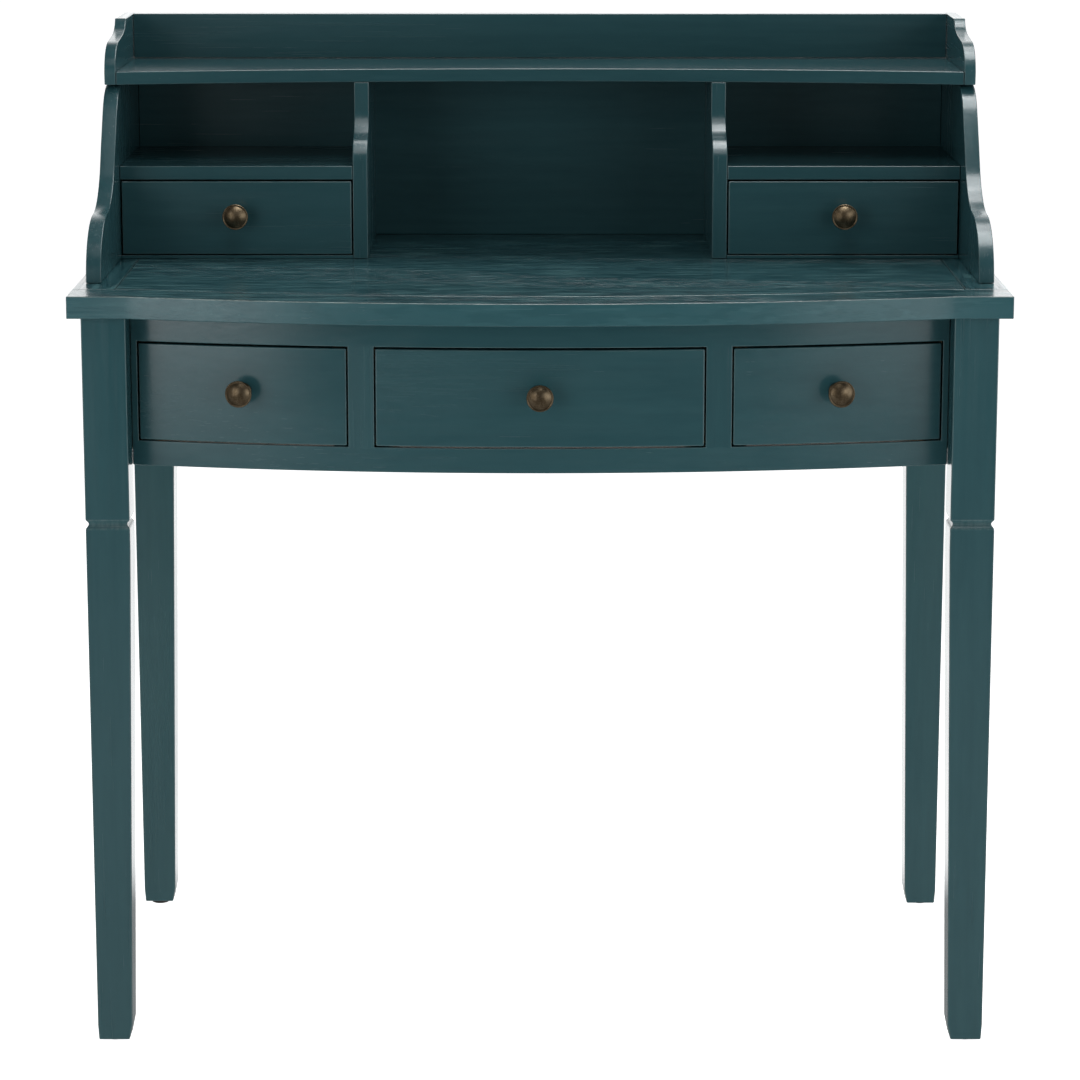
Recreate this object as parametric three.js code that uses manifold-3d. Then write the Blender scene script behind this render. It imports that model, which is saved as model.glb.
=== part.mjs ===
// Bow-front secretary desk: a table with a bowed apron and three drawers, which carries a hutch
// with two small drawers, open compartments and a low gallery round its top shelf.
// Millimetres, +Z up. The front faces -Y, left is -X, and the origin is on the floor, in the middle.

import * as THREE from 'three';
import { mergeVertices } from 'three/addons/utils/BufferGeometryUtils.js';
import Module from 'manifold-3d';

const wasm = await Module();
wasm.setup();

// ---- Driving dimensions ----------------------------------------------------------------------

const GAP = 0.3; // between pieces that touch
const BOW_STEP = 24; // longest straight step along a bowed edge
const CURVE_STEPS = 10; // straight steps in each curve of a shaped board

const GLIDE_HEIGHT = 2;
const GLIDE_RADIUS = 9.5;
const LEVELLING = 2; // the back left foot is this much shorter, and its glide stands out to match

const TOP_HALF_WIDTH = 430.5;
const TOP_SURFACE = 716;
const TOP_THICKNESS = 20.6;
const TOP_CORNER_Y = -209;
const TOP_BOW = 46; // how far the middle of the front edge stands ahead of its corners
const TOP_BOW_HALF = 378; // the bow ends where the legs begin
const BORDER_FRONT = 46;
const FIELD_HALF_WIDTH = 391;
const BACK_Y = 255;

const LEG_SIZE = 41;
const LEG_OUTER_X = 419.2;
const LEG_FRONT_Y = -197;
const LEG_BACK_Y = 252;
const TAPER_TOP = 477;
const TAPER_INSET = 8.3; // taken off the two inner faces at the foot
const FOOT_CHAMFER_HEIGHT = 15;
const FOOT_CHAMFER_INNER = 3;
const FOOT_CHAMFER_OUTER = 0.8;
const GROOVE_Z = 501.7;
const GROOVE_HALF_HEIGHT = 3.8;
const GROOVE_DEPTH = 2.8;

const APRON_BOTTOM = 551.4;
const APRON_THICKNESS = 21;
const APRON_MIDDLE_Y = -204.5;
const APRON_BOW = 43;
const APRON_HALF = 377.9;
const OPENING_BOTTOM = 574.6;
const OPENING_TOP = 667.8;
const STILE_INNER_X = 152;
const STILE_OUTER_X = 176;
const END_STILE_X = 372;
const SIDE_APRON_OUTER_X = 416;
const FLAT_APRON_THICKNESS = 20;
const BACK_APRON_Y = 228;

const RUNNER_LEDGE = 12; // height of the ledge a drawer side slides on
const KICKER_BOTTOM = 650; // the lip over a drawer side, which stops the drawer tipping
const GUIDE_INNER_X = 151;
const GUIDE_OUTER_X = 177;
const GUIDE_END_X = 371.6;
const LEDGE_WIDTH = 14;
const BLOCK_SIZE = 44;

const FRONT_THICKNESS = 20;
const FRONT_SIDE_GAP = 1.4;
const FRONT_BOTTOM_GAP = 1.2;
const FRONT_TOP_GAP = 1.9;
const BOX_SIDE = 11;
const BOX_TOP = 648;
const BOX_BACK_Y = 205;
const BOTTOM_RISE = 8; // from the lower edge of a drawer side up to its bottom panel
const BOTTOM_THICKNESS = 5;
const PANEL_GROOVE = 5; // how far a bottom panel is let into the front and the sides

const HUTCH_HALF_WIDTH = 422.2;
const HUTCH_SIDE_THICKNESS = 14.2;
const HUTCH_BACK_Y = 241;
const HUTCH_LOBE_Y = -126; // foot of the side's front edge
const LOBE_DEPTH = 67;
const LOBE_HEIGHT = 57;
const DIVIDER_INNER_X = 167.5;
const DIVIDER_OUTER_X = 181.8;
const LOWER_FACE_Y = 43; // fronts of the small drawers, half shelves and lower dividers
const UPPER_FACE_Y = 85;
const DIVIDER_STEP_Z = 811.4;
const FLOOR_THICKNESS = 3;
const HALF_SHELF_BOTTOM = 793.3;
const HALF_SHELF_TOP = 806.4;
const TOP_SHELF_BOTTOM = 884;
const TOP_SHELF_TOP = 896.5;
const TOP_SHELF_HALF = 410.8;
const TOP_SHELF_END_Y = 55;
const TOP_SHELF_HOLLOW = 38; // the shelf's front edge is hollow: its middle is this far back
const BACK_PANEL_Y = 227;
const BACK_PANEL_THICKNESS = 12;
const GALLERY_BACK_Y = 219;
const GALLERY_BACK_THICKNESS = 20;
const GALLERY_SIDE_THICKNESS = 10.9;
const GALLERY_TOP = 941;

const SMALL_FRONT_THICKNESS = 16;
const SMALL_FRONT_TOP_GAP = 1.7;
const SMALL_BOX_SIDE = 9;
const SMALL_BOX_HEIGHT = 54;
const SMALL_BOX_BACK_Y = 214;

const KNOB_RADIUS = 12.4;
const KNOB_LENGTH = 23;
const KNOB_Z = 624.5;
const KNOB_SIDE_X = 273;
const SMALL_KNOB_X = 295;
const SMALL_KNOB_Z = 759;

// ---- Materials -------------------------------------------------------------------------------

const paint = new THREE.MeshStandardMaterial({ color: 0x3f646b, roughness: 0.45, metalness: 0 });
const bareWood = new THREE.MeshStandardMaterial({ color: 0xc9a877, roughness: 0.7, metalness: 0 });
const bronze = new THREE.MeshStandardMaterial({ color: 0x7d6a4e, roughness: 0.35, metalness: 0.9 });
const plastic = new THREE.MeshStandardMaterial({ color: 0x1c1a18, roughness: 0.6, metalness: 0 });

// ---- Shapes ----------------------------------------------------------------------------------

const group = new THREE.Group();

function add(name, geometry, material) {
  const mesh = new THREE.Mesh(geometry, material);
  mesh.name = name;
  group.add(mesh);
  return mesh;
}

// A square-cut board between two values on each axis.
function addBoard(name, [x0, x1], [y0, y1], [z0, z1], material = paint) {
  const mesh = add(name, new THREE.BoxGeometry(x1 - x0, y1 - y0, z1 - z0), material);
  mesh.position.set((x0 + x1) / 2, (y0 + y1) / 2, (z0 + z1) / 2);
  return mesh;
}

// A plan outline, drawn in X and Y, raised from one height to another.
function raise(shape, bottom, top) {
  const options = { depth: top - bottom, bevelEnabled: false };
  return new THREE.ExtrudeGeometry(shape, options).translate(0, 0, bottom);
}

// A side profile, drawn in Y and Z, carried along X.
function crossX(shape, xMin, xMax) {
  const options = { depth: xMax - xMin, bevelEnabled: false, curveSegments: CURVE_STEPS };
  const toSide = new THREE.Matrix4().makeBasis(
    new THREE.Vector3(0, 1, 0), new THREE.Vector3(0, 0, 1), new THREE.Vector3(1, 0, 0));
  return new THREE.ExtrudeGeometry(shape, options).applyMatrix4(toSide).translate(xMin, 0, 0);
}

// A front profile, drawn in X and Z, carried along Y.
function crossY(shape, yMin, yMax) {
  const options = { depth: yMax - yMin, bevelEnabled: false };
  return new THREE.ExtrudeGeometry(shape, options).rotateX(Math.PI / 2).translate(0, yMax, 0);
}

function polygon(points) {
  return new THREE.Shape(points.map(([x, y]) => new THREE.Vector2(x, y)));
}

// An upright face seen in plan: an arc about a point on the Y axis, or a straight line.
// towards is -1 where the middle of the arc bows out to the front, and +1 where it is hollow.
function arcFace(middleY, radius, towards) {
  return { radius, towards, centreY: middleY - towards * radius };
}

function flatFace(y) {
  return { y };
}

// The same face moved back, so a bowed one keeps its centre and gets a smaller radius.
function behind(face, distance) {
  if (!face.radius) {
    return flatFace(face.y + distance);
  }
  return { ...face, radius: face.radius + face.towards * distance };
}

function faceY(face, x) {
  if (!face.radius) {
    return face.y;
  }
  return face.centreY + face.towards * Math.sqrt(face.radius ** 2 - x ** 2);
}

function traceFace(shape, face, xFrom, xTo) {
  const steps = face.radius ? Math.ceil(Math.abs(xTo - xFrom) / BOW_STEP) : 1;
  for (let step = 1; step <= steps; step += 1) {
    const x = xFrom + (xTo - xFrom) * step / steps;
    shape.lineTo(x, faceY(face, x));
  }
}

// The plan of a piece between two faces, with its ends square to the front.
function slab(xMin, xMax, front, back) {
  const shape = new THREE.Shape();
  shape.moveTo(xMin, faceY(front, xMin));
  traceFace(shape, front, xMin, xMax);
  shape.lineTo(xMax, faceY(back, xMax));
  traceFace(shape, back, xMax, xMin);
  return shape;
}

function arcRadius(halfChord, rise) {
  return (halfChord ** 2 + rise ** 2) / (2 * rise);
}

function toSolid(geometry) {
  const bare = geometry.clone();
  bare.deleteAttribute('normal');
  bare.deleteAttribute('uv');
  const merged = mergeVertices(bare, 1e-4);
  return new wasm.Manifold(new wasm.Mesh({
    numProp: 3,
    vertProperties: new Float32Array(merged.attributes.position.array),
    triVerts: new Uint32Array(merged.index.array),
  }));
}

function cut(geometry, tools) {
  const solid = tools.reduce((body, tool) => body.subtract(toSolid(tool)), toSolid(geometry));
  const { vertProperties, triVerts } = solid.getMesh();
  const result = new THREE.BufferGeometry();
  result.setAttribute('position', new THREE.BufferAttribute(vertProperties, 3));
  result.setIndex(new THREE.BufferAttribute(triVerts, 1));
  result.computeVertexNormals();
  return result;
}

// ---- Desktop: a field with a front border that follows the bow and two straight side borders ---

const topRadius = arcRadius(TOP_BOW_HALF, TOP_BOW);
const topFace = arcFace(TOP_CORNER_Y - TOP_BOW, topRadius, -1);
const topBottom = TOP_SURFACE - TOP_THICKNESS;

// A line across the desktop that keeps its distance from the front edge.
function topLine(inset) {
  const face = behind(topFace, inset);
  const halfChord = TOP_BOW_HALF * face.radius / topRadius;
  return { face, halfChord, endY: faceY(face, halfChord) };
}

function traceTopLine(shape, line, xFrom, xTo) {
  const side = Math.sign(xTo - xFrom);
  shape.lineTo(-side * line.halfChord, line.endY);
  traceFace(shape, line.face, -side * line.halfChord, side * line.halfChord);
  shape.lineTo(xTo, line.endY);
}

function addDesktop() {
  const edge = topLine(0);
  const seam = topLine(BORDER_FRONT);
  const fieldEdge = topLine(BORDER_FRONT + GAP);

  const border = new THREE.Shape();
  border.moveTo(-TOP_HALF_WIDTH, edge.endY);
  traceTopLine(border, edge, -TOP_HALF_WIDTH, TOP_HALF_WIDTH);
  border.lineTo(TOP_HALF_WIDTH, seam.endY);
  traceTopLine(border, seam, TOP_HALF_WIDTH, -TOP_HALF_WIDTH);
  add('desktop_front_border', raise(border, topBottom, TOP_SURFACE), paint);

  const field = new THREE.Shape();
  field.moveTo(-FIELD_HALF_WIDTH, fieldEdge.endY);
  traceTopLine(field, fieldEdge, -FIELD_HALF_WIDTH, FIELD_HALF_WIDTH);
  field.lineTo(FIELD_HALF_WIDTH, BACK_Y);
  field.lineTo(-FIELD_HALF_WIDTH, BACK_Y);
  add('desktop_field', raise(field, topBottom, TOP_SURFACE), paint);

  const depth = [seam.endY + GAP, BACK_Y];
  const height = [topBottom, TOP_SURFACE];
  addBoard('desktop_left_border', [-TOP_HALF_WIDTH, -FIELD_HALF_WIDTH - GAP], depth, height);
  addBoard('desktop_right_border', [FIELD_HALF_WIDTH + GAP, TOP_HALF_WIDTH], depth, height);
}

// ---- Legs: square posts with a groove, tapered on their inner faces, on round glides ----------

// A square post from rings of [height, inset of the outer faces, inset of the inner faces].
// sideX and sideY say which way the outer faces look.
function post(sideX, sideY, outerY, rings) {
  const positions = [];
  for (const [z, outer, inner] of rings) {
    const xs = [sideX * (LEG_OUTER_X - outer), sideX * (LEG_OUTER_X - LEG_SIZE + inner)];
    const ys = [outerY - sideY * outer, outerY - sideY * (LEG_SIZE - inner)];
    xs.sort((a, b) => a - b);
    ys.sort((a, b) => a - b);
    positions.push(xs[0], ys[0], z, xs[1], ys[0], z, xs[1], ys[1], z, xs[0], ys[1], z);
  }
  const faces = [0, 2, 1, 0, 3, 2];
  for (let ring = 0; ring < rings.length - 1; ring += 1) {
    for (let corner = 0; corner < 4; corner += 1) {
      const a = ring * 4 + corner;
      const b = ring * 4 + (corner + 1) % 4;
      faces.push(a, b, b + 4, a, b + 4, a + 4);
    }
  }
  const last = (rings.length - 1) * 4;
  faces.push(last, last + 1, last + 2, last, last + 2, last + 3);
  const geometry = new THREE.BufferGeometry();
  geometry.setAttribute('position', new THREE.Float32BufferAttribute(positions, 3));
  geometry.setIndex(faces);
  geometry.computeVertexNormals();
  return geometry;
}

function addLeg(place, sideX, sideY, outerY, shortening) {
  const foot = GLIDE_HEIGHT + shortening;
  const innerFoot = TAPER_INSET + FOOT_CHAMFER_INNER;
  const rings = [
    [foot, FOOT_CHAMFER_OUTER, innerFoot],
    [foot + FOOT_CHAMFER_HEIGHT, 0, TAPER_INSET],
    [TAPER_TOP, 0, 0],
    [GROOVE_Z - GROOVE_HALF_HEIGHT, 0, 0],
    [GROOVE_Z - GROOVE_HALF_HEIGHT * 0.45, GROOVE_DEPTH * 0.8, GROOVE_DEPTH * 0.8],
    [GROOVE_Z, GROOVE_DEPTH, GROOVE_DEPTH],
    [GROOVE_Z + GROOVE_HALF_HEIGHT * 0.45, GROOVE_DEPTH * 0.8, GROOVE_DEPTH * 0.8],
    [GROOVE_Z + GROOVE_HALF_HEIGHT, 0, 0],
    [topBottom - GAP, 0, 0],
  ];
  add(`leg_${place}`, post(sideX, sideY, outerY, rings), paint);

  const footWidth = LEG_SIZE - innerFoot - FOOT_CHAMFER_OUTER;
  const toMiddle = FOOT_CHAMFER_OUTER + footWidth / 2;
  const height = foot - GAP;
  const glide = new THREE.CylinderGeometry(GLIDE_RADIUS, GLIDE_RADIUS, height, 24);
  const mesh = add(`glide_${place}`, glide.rotateX(Math.PI / 2), plastic);
  mesh.position.set(sideX * (LEG_OUTER_X - toMiddle), outerY - sideY * toMiddle, height / 2);
}

function addLegs() {
  addLeg('front_left', -1, -1, LEG_FRONT_Y, 0);
  addLeg('front_right', 1, -1, LEG_FRONT_Y, 0);
  addLeg('back_left', -1, 1, LEG_BACK_Y, LEVELLING);
  addLeg('back_right', 1, 1, LEG_BACK_Y, 0);
}

// ---- Apron: a bowed front frame round the three drawers, with flat sides and a flat back -------

const apronFace = arcFace(APRON_MIDDLE_Y, arcRadius(APRON_HALF, APRON_BOW), -1);
const apronBack = behind(apronFace, APRON_THICKNESS);
const apronTop = topBottom - GAP;

function addApron() {
  const rail = slab(-APRON_HALF, APRON_HALF, apronFace, apronBack);
  add('apron_top_rail', raise(rail, OPENING_TOP, apronTop), paint);
  add('apron_bottom_rail', raise(rail, APRON_BOTTOM, OPENING_BOTTOM), paint);

  const stileHeight = [OPENING_BOTTOM + GAP, OPENING_TOP - GAP];
  const stile = (name, xMin, xMax) => {
    add(name, raise(slab(xMin, xMax, apronFace, apronBack), ...stileHeight), paint);
  };
  stile('apron_stile_left', -STILE_OUTER_X, -STILE_INNER_X);
  stile('apron_stile_right', STILE_INNER_X, STILE_OUTER_X);
  stile('apron_end_stile_left', -APRON_HALF, -END_STILE_X);
  stile('apron_end_stile_right', END_STILE_X, APRON_HALF);

  const height = [APRON_BOTTOM, apronTop];
  const depth = [LEG_FRONT_Y + LEG_SIZE + GAP, LEG_BACK_Y - LEG_SIZE - GAP];
  const inner = SIDE_APRON_OUTER_X - FLAT_APRON_THICKNESS;
  addBoard('side_apron_left', [-SIDE_APRON_OUTER_X, -inner], depth, height);
  addBoard('side_apron_right', [inner, SIDE_APRON_OUTER_X], depth, height);
  const backDepth = [BACK_APRON_Y, BACK_APRON_Y + FLAT_APRON_THICKNESS];
  addBoard('back_apron', [-APRON_HALF, APRON_HALF], backDepth, height);
}

// ---- Runners: a guide board between drawers, with a ledge below and a kicker lip above ---------

// The front view of a runner whose guide board spans guide and whose ledges span ledge.
function runnerProfile(guide, ledge) {
  const bottom = OPENING_BOTTOM - RUNNER_LEDGE;
  return polygon([
    [ledge[0], bottom], [ledge[1], bottom],
    [ledge[1], OPENING_BOTTOM], [guide[1], OPENING_BOTTOM],
    [guide[1], KICKER_BOTTOM], [ledge[1], KICKER_BOTTOM],
    [ledge[1], OPENING_TOP], [ledge[0], OPENING_TOP],
    [ledge[0], KICKER_BOTTOM], [guide[0], KICKER_BOTTOM],
    [guide[0], OPENING_BOTTOM], [ledge[0], OPENING_BOTTOM],
  ]);
}

function outerRunnerProfile(side) {
  const wall = SIDE_APRON_OUTER_X - FLAT_APRON_THICKNESS - GAP;
  const tip = GUIDE_END_X - LEDGE_WIDTH;
  const bottom = OPENING_BOTTOM - RUNNER_LEDGE;
  const points = [
    [tip, bottom], [wall, bottom], [wall, OPENING_TOP], [tip, OPENING_TOP],
    [tip, KICKER_BOTTOM], [GUIDE_END_X, KICKER_BOTTOM],
    [GUIDE_END_X, OPENING_BOTTOM], [tip, OPENING_BOTTOM],
  ];
  return polygon(points.map(([x, z]) => [side * x, z]));
}

function addRunners() {
  const reach = GUIDE_OUTER_X + LEDGE_WIDTH;
  for (const [place, side] of [['left', -1], ['right', 1]]) {
    const guide = [side * GUIDE_INNER_X, side * GUIDE_OUTER_X].sort((a, b) => a - b);
    const ledge = [guide[0] - LEDGE_WIDTH, guide[1] + LEDGE_WIDTH];
    const innerDepth = [faceY(apronBack, reach) + GAP, BACK_APRON_Y - GAP];
    add(`runner_inner_${place}`, crossY(runnerProfile(guide, ledge), ...innerDepth), bareWood);

    const yStart = faceY(apronBack, APRON_HALF) + GAP;
    const outerDepth = [yStart, LEG_BACK_Y - LEG_SIZE - GAP];
    add(`runner_outer_${place}`, crossY(outerRunnerProfile(side), ...outerDepth), bareWood);

    const wall = side * (SIDE_APRON_OUTER_X - FLAT_APRON_THICKNESS - GAP);
    const block = polygon([
      [wall, yStart], [wall, yStart + BLOCK_SIZE], [wall - side * BLOCK_SIZE, yStart],
    ]);
    const blockBody = raise(block, OPENING_TOP + GAP, apronTop);
    add(`corner_block_${place}`, blockBody, bareWood);
  }
}

// ---- Drawers: a front, a three-sided box, a bottom panel let into grooves, and a knob ----------

// A drawer is described by its front's extent, its box's extent, its front face and its knob.
function addDrawer(name, drawer) {
  const { front, box, face, frontThickness, sideThickness, backY, knob } = drawer;
  const joint = behind(face, frontThickness);
  const boxFront = behind(joint, GAP);
  const panelBottom = box.z[0] + BOTTOM_RISE;
  const panelTop = panelBottom + BOTTOM_THICKNESS;

  // The bottom panel, or the groove for it where spare is more than nothing.
  const panel = (spare) => {
    const edge = behind(joint, -PANEL_GROOVE - spare);
    const reach = sideThickness - PANEL_GROOVE - spare;
    const shape = slab(box.x[0] + reach, box.x[1] - reach, edge, flatFace(backY + spare));
    return raise(shape, panelBottom - spare, panelTop + spare);
  };

  const board = raise(slab(front.x[0], front.x[1], face, joint), front.z[0], front.z[1]);
  add(`${name}_front`, cut(board, [panel(GAP)]), paint);

  const [left, right] = box.x;
  const frame = new THREE.Shape();
  frame.moveTo(left, faceY(boxFront, left));
  traceFace(frame, boxFront, left, left + sideThickness);
  frame.lineTo(left + sideThickness, backY - sideThickness);
  frame.lineTo(right - sideThickness, backY - sideThickness);
  frame.lineTo(right - sideThickness, faceY(boxFront, right - sideThickness));
  traceFace(frame, boxFront, right - sideThickness, right);
  frame.lineTo(right, backY);
  frame.lineTo(left, backY);
  const underBack = slab(
    left + sideThickness, right - sideThickness,
    flatFace(backY - sideThickness - 1), flatFace(backY + 1));
  const slot = raise(underBack, box.z[0] - 1, panelTop + GAP);
  const sides = cut(raise(frame, box.z[0], box.z[1]), [panel(GAP), slot]);
  add(`${name}_box`, sides, bareWood);

  add(`${name}_bottom`, panel(0), bareWood);

  const mesh = add(`${name}_knob`, knobGeometry(), bronze);
  mesh.position.set(knob.x, faceY(face, knob.x) - GAP, knob.z);
  mesh.rotation.z = face.radius ? Math.asin(knob.x / face.radius) : 0;
}

// A turned knob with a waisted stem, a thin rim and a low dome, pointing along -Y.
function knobGeometry() {
  const profile = new THREE.Path();
  profile.moveTo(0, 0);
  profile.lineTo(KNOB_RADIUS * 0.56, 0);
  profile.lineTo(KNOB_RADIUS * 0.54, 2);
  profile.quadraticCurveTo(KNOB_RADIUS * 0.3, 5, KNOB_RADIUS * 0.42, 10);
  profile.quadraticCurveTo(KNOB_RADIUS * 0.5, 14, KNOB_RADIUS * 0.96, 15.5);
  profile.lineTo(KNOB_RADIUS, 16.6);
  profile.lineTo(KNOB_RADIUS * 0.96, 18);
  profile.lineTo(KNOB_RADIUS * 0.84, 18.2);
  profile.quadraticCurveTo(KNOB_RADIUS * 0.6, KNOB_LENGTH, 0, KNOB_LENGTH);
  const points = profile.getPoints(4);
  return new THREE.LatheGeometry(points, 24).rotateZ(Math.PI);
}

function addDrawers() {
  const frontHeight = [OPENING_BOTTOM + FRONT_BOTTOM_GAP, OPENING_TOP - FRONT_TOP_GAP];
  const boxHeight = [OPENING_BOTTOM + FRONT_BOTTOM_GAP / 2, BOX_TOP];
  const lowerDrawer = (name, opening, knobX) => {
    const between = (gap) => [opening[0] + gap, opening[1] - gap];
    addDrawer(name, {
      front: { x: between(FRONT_SIDE_GAP), z: frontHeight },
      box: { x: between(FRONT_SIDE_GAP + 0.8), z: boxHeight },
      face: apronFace,
      frontThickness: FRONT_THICKNESS,
      sideThickness: BOX_SIDE,
      backY: BOX_BACK_Y,
      knob: { x: knobX, z: KNOB_Z },
    });
  };
  lowerDrawer('drawer_left', [-END_STILE_X, -STILE_OUTER_X], -KNOB_SIDE_X);
  lowerDrawer('drawer_center', [-STILE_INNER_X, STILE_INNER_X], 0);
  lowerDrawer('drawer_right', [STILE_OUTER_X, END_STILE_X], KNOB_SIDE_X);

  const floorTop = TOP_SURFACE + GAP + FLOOR_THICKNESS;
  const sideX = HUTCH_HALF_WIDTH - HUTCH_SIDE_THICKNESS;
  const upperDrawer = (name, opening, knobX) => {
    const between = (gap) => [opening[0] + gap, opening[1] - gap];
    addDrawer(name, {
      front: {
        x: between(FRONT_SIDE_GAP),
        z: [floorTop + 1, HALF_SHELF_BOTTOM - SMALL_FRONT_TOP_GAP],
      },
      box: {
        x: between(FRONT_SIDE_GAP + 1),
        z: [floorTop + 0.5, floorTop + SMALL_BOX_HEIGHT],
      },
      face: flatFace(LOWER_FACE_Y),
      frontThickness: SMALL_FRONT_THICKNESS,
      sideThickness: SMALL_BOX_SIDE,
      backY: SMALL_BOX_BACK_Y,
      knob: { x: knobX, z: SMALL_KNOB_Z },
    });
  };
  upperDrawer('drawer_upper_left', [-sideX, -DIVIDER_OUTER_X], -SMALL_KNOB_X);
  upperDrawer('drawer_upper_right', [DIVIDER_OUTER_X, sideX], SMALL_KNOB_X);
}

// ---- Hutch: shaped sides and dividers, half shelves, a hollow-fronted top shelf and a back ------

const hutchFoot = TOP_SURFACE + GAP;
const hutchTop = TOP_SHELF_BOTTOM - GAP;

// The side's front edge: a round lobe on the desktop, a cove behind it, then a sweep to the shelf.
function hutchSideProfile() {
  const cuspY = HUTCH_LOBE_Y + LOBE_DEPTH;
  const cuspZ = hutchFoot + LOBE_HEIGHT;
  const shape = new THREE.Shape();
  shape.moveTo(HUTCH_BACK_Y, hutchFoot);
  shape.lineTo(HUTCH_BACK_Y, hutchTop);
  shape.lineTo(76, hutchTop);
  shape.bezierCurveTo(56, hutchTop - 2, 44, 873, 36, 862);
  shape.bezierCurveTo(26, 848, 12, 826, 4, 812);
  shape.bezierCurveTo(-8, 790, -35, 775, cuspY, cuspZ);
  shape.absellipse(cuspY, hutchFoot, LOBE_DEPTH, LOBE_HEIGHT, Math.PI / 2, Math.PI, false);
  return shape;
}

// The divider's front edge steps back above the half shelf, over a small lobe and a cove.
function dividerProfile() {
  const shape = new THREE.Shape();
  shape.moveTo(LOWER_FACE_Y, hutchFoot);
  shape.lineTo(BACK_PANEL_Y - GAP, hutchFoot);
  shape.lineTo(BACK_PANEL_Y - GAP, hutchTop);
  shape.lineTo(UPPER_FACE_Y, hutchTop);
  shape.lineTo(UPPER_FACE_Y, 857);
  shape.quadraticCurveTo(UPPER_FACE_Y - 5, 836, 60, 831.5);
  shape.quadraticCurveTo(LOWER_FACE_Y + 3, 826, LOWER_FACE_Y, DIVIDER_STEP_Z);
  return shape;
}

// The gallery side: a lobe at the shelf's front, a short ledge, and a cove up to its flat top.
function gallerySideProfile() {
  const lobeY = TOP_SHELF_END_Y - 2;
  const lobeZ = TOP_SHELF_BOTTOM + 9;
  const lobeHeight = 31;
  const lobeDepth = 39;
  const ledgeZ = lobeZ + lobeHeight;
  const topFrontY = 154;
  const shape = new THREE.Shape();
  shape.moveTo(TOP_SHELF_END_Y - 1, TOP_SHELF_BOTTOM);
  shape.lineTo(GALLERY_BACK_Y + GALLERY_BACK_THICKNESS, TOP_SHELF_BOTTOM);
  shape.lineTo(GALLERY_BACK_Y + GALLERY_BACK_THICKNESS, GALLERY_TOP);
  shape.lineTo(topFrontY, GALLERY_TOP);
  shape.quadraticCurveTo(topFrontY - 4, 929, lobeY + lobeDepth + 20, ledgeZ + 2);
  shape.lineTo(lobeY + lobeDepth, ledgeZ);
  shape.absellipse(
    lobeY + lobeDepth, lobeZ, lobeDepth, lobeHeight, Math.PI / 2, Math.PI, false);
  return shape;
}

function addHutch() {
  const sideX = HUTCH_HALF_WIDTH - HUTCH_SIDE_THICKNESS;
  const bay = [DIVIDER_OUTER_X + GAP, sideX - GAP];
  const shelfDepth = [LOWER_FACE_Y, BACK_PANEL_Y - GAP];
  for (const [place, side] of [['left', -1], ['right', 1]]) {
    const span = (a, b) => [side * a, side * b].sort((p, q) => p - q);
    add(`hutch_side_${place}`, crossX(hutchSideProfile(), ...span(sideX, HUTCH_HALF_WIDTH)), paint);
    const dividerSpan = span(DIVIDER_INNER_X, DIVIDER_OUTER_X);
    add(`hutch_divider_${place}`, crossX(dividerProfile(), ...dividerSpan), paint);
    addBoard(`hutch_floor_${place}`, span(...bay), shelfDepth,
      [hutchFoot, hutchFoot + FLOOR_THICKNESS]);
    addBoard(`hutch_half_shelf_${place}`, span(...bay), shelfDepth,
      [HALF_SHELF_BOTTOM, HALF_SHELF_TOP]);
    const galleryInner = TOP_SHELF_HALF + GAP;
    const gallerySpan = span(galleryInner, galleryInner + GALLERY_SIDE_THICKNESS);
    add(`gallery_side_${place}`, crossX(gallerySideProfile(), ...gallerySpan), paint);
  }

  const shelfRadius = arcRadius(TOP_SHELF_HALF, TOP_SHELF_HOLLOW);
  const hollow = arcFace(TOP_SHELF_END_Y + TOP_SHELF_HOLLOW, shelfRadius, 1);
  const galleryRear = GALLERY_BACK_Y + GALLERY_BACK_THICKNESS;
  const shelf = slab(-TOP_SHELF_HALF, TOP_SHELF_HALF, hollow, flatFace(galleryRear));
  add('hutch_top_shelf', raise(shelf, TOP_SHELF_BOTTOM, TOP_SHELF_TOP), paint);
  addBoard('hutch_back_panel', [-sideX + GAP, sideX - GAP],
    [BACK_PANEL_Y, BACK_PANEL_Y + BACK_PANEL_THICKNESS], [hutchFoot, hutchTop]);
  addBoard('gallery_back', [-TOP_SHELF_HALF, TOP_SHELF_HALF],
    [GALLERY_BACK_Y, galleryRear], [TOP_SHELF_TOP + GAP, GALLERY_TOP]);
}

addDesktop();
addLegs();
addApron();
addRunners();
addDrawers();
addHutch();

export default group;
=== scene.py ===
"""Looks of a painted bow-front secretary desk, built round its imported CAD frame.

Metres, +Z up. The front faces -Y, left is -X and the floor is at 0.
"""

import math

import bmesh
import bpy
from mathutils import Matrix, Vector


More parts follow.
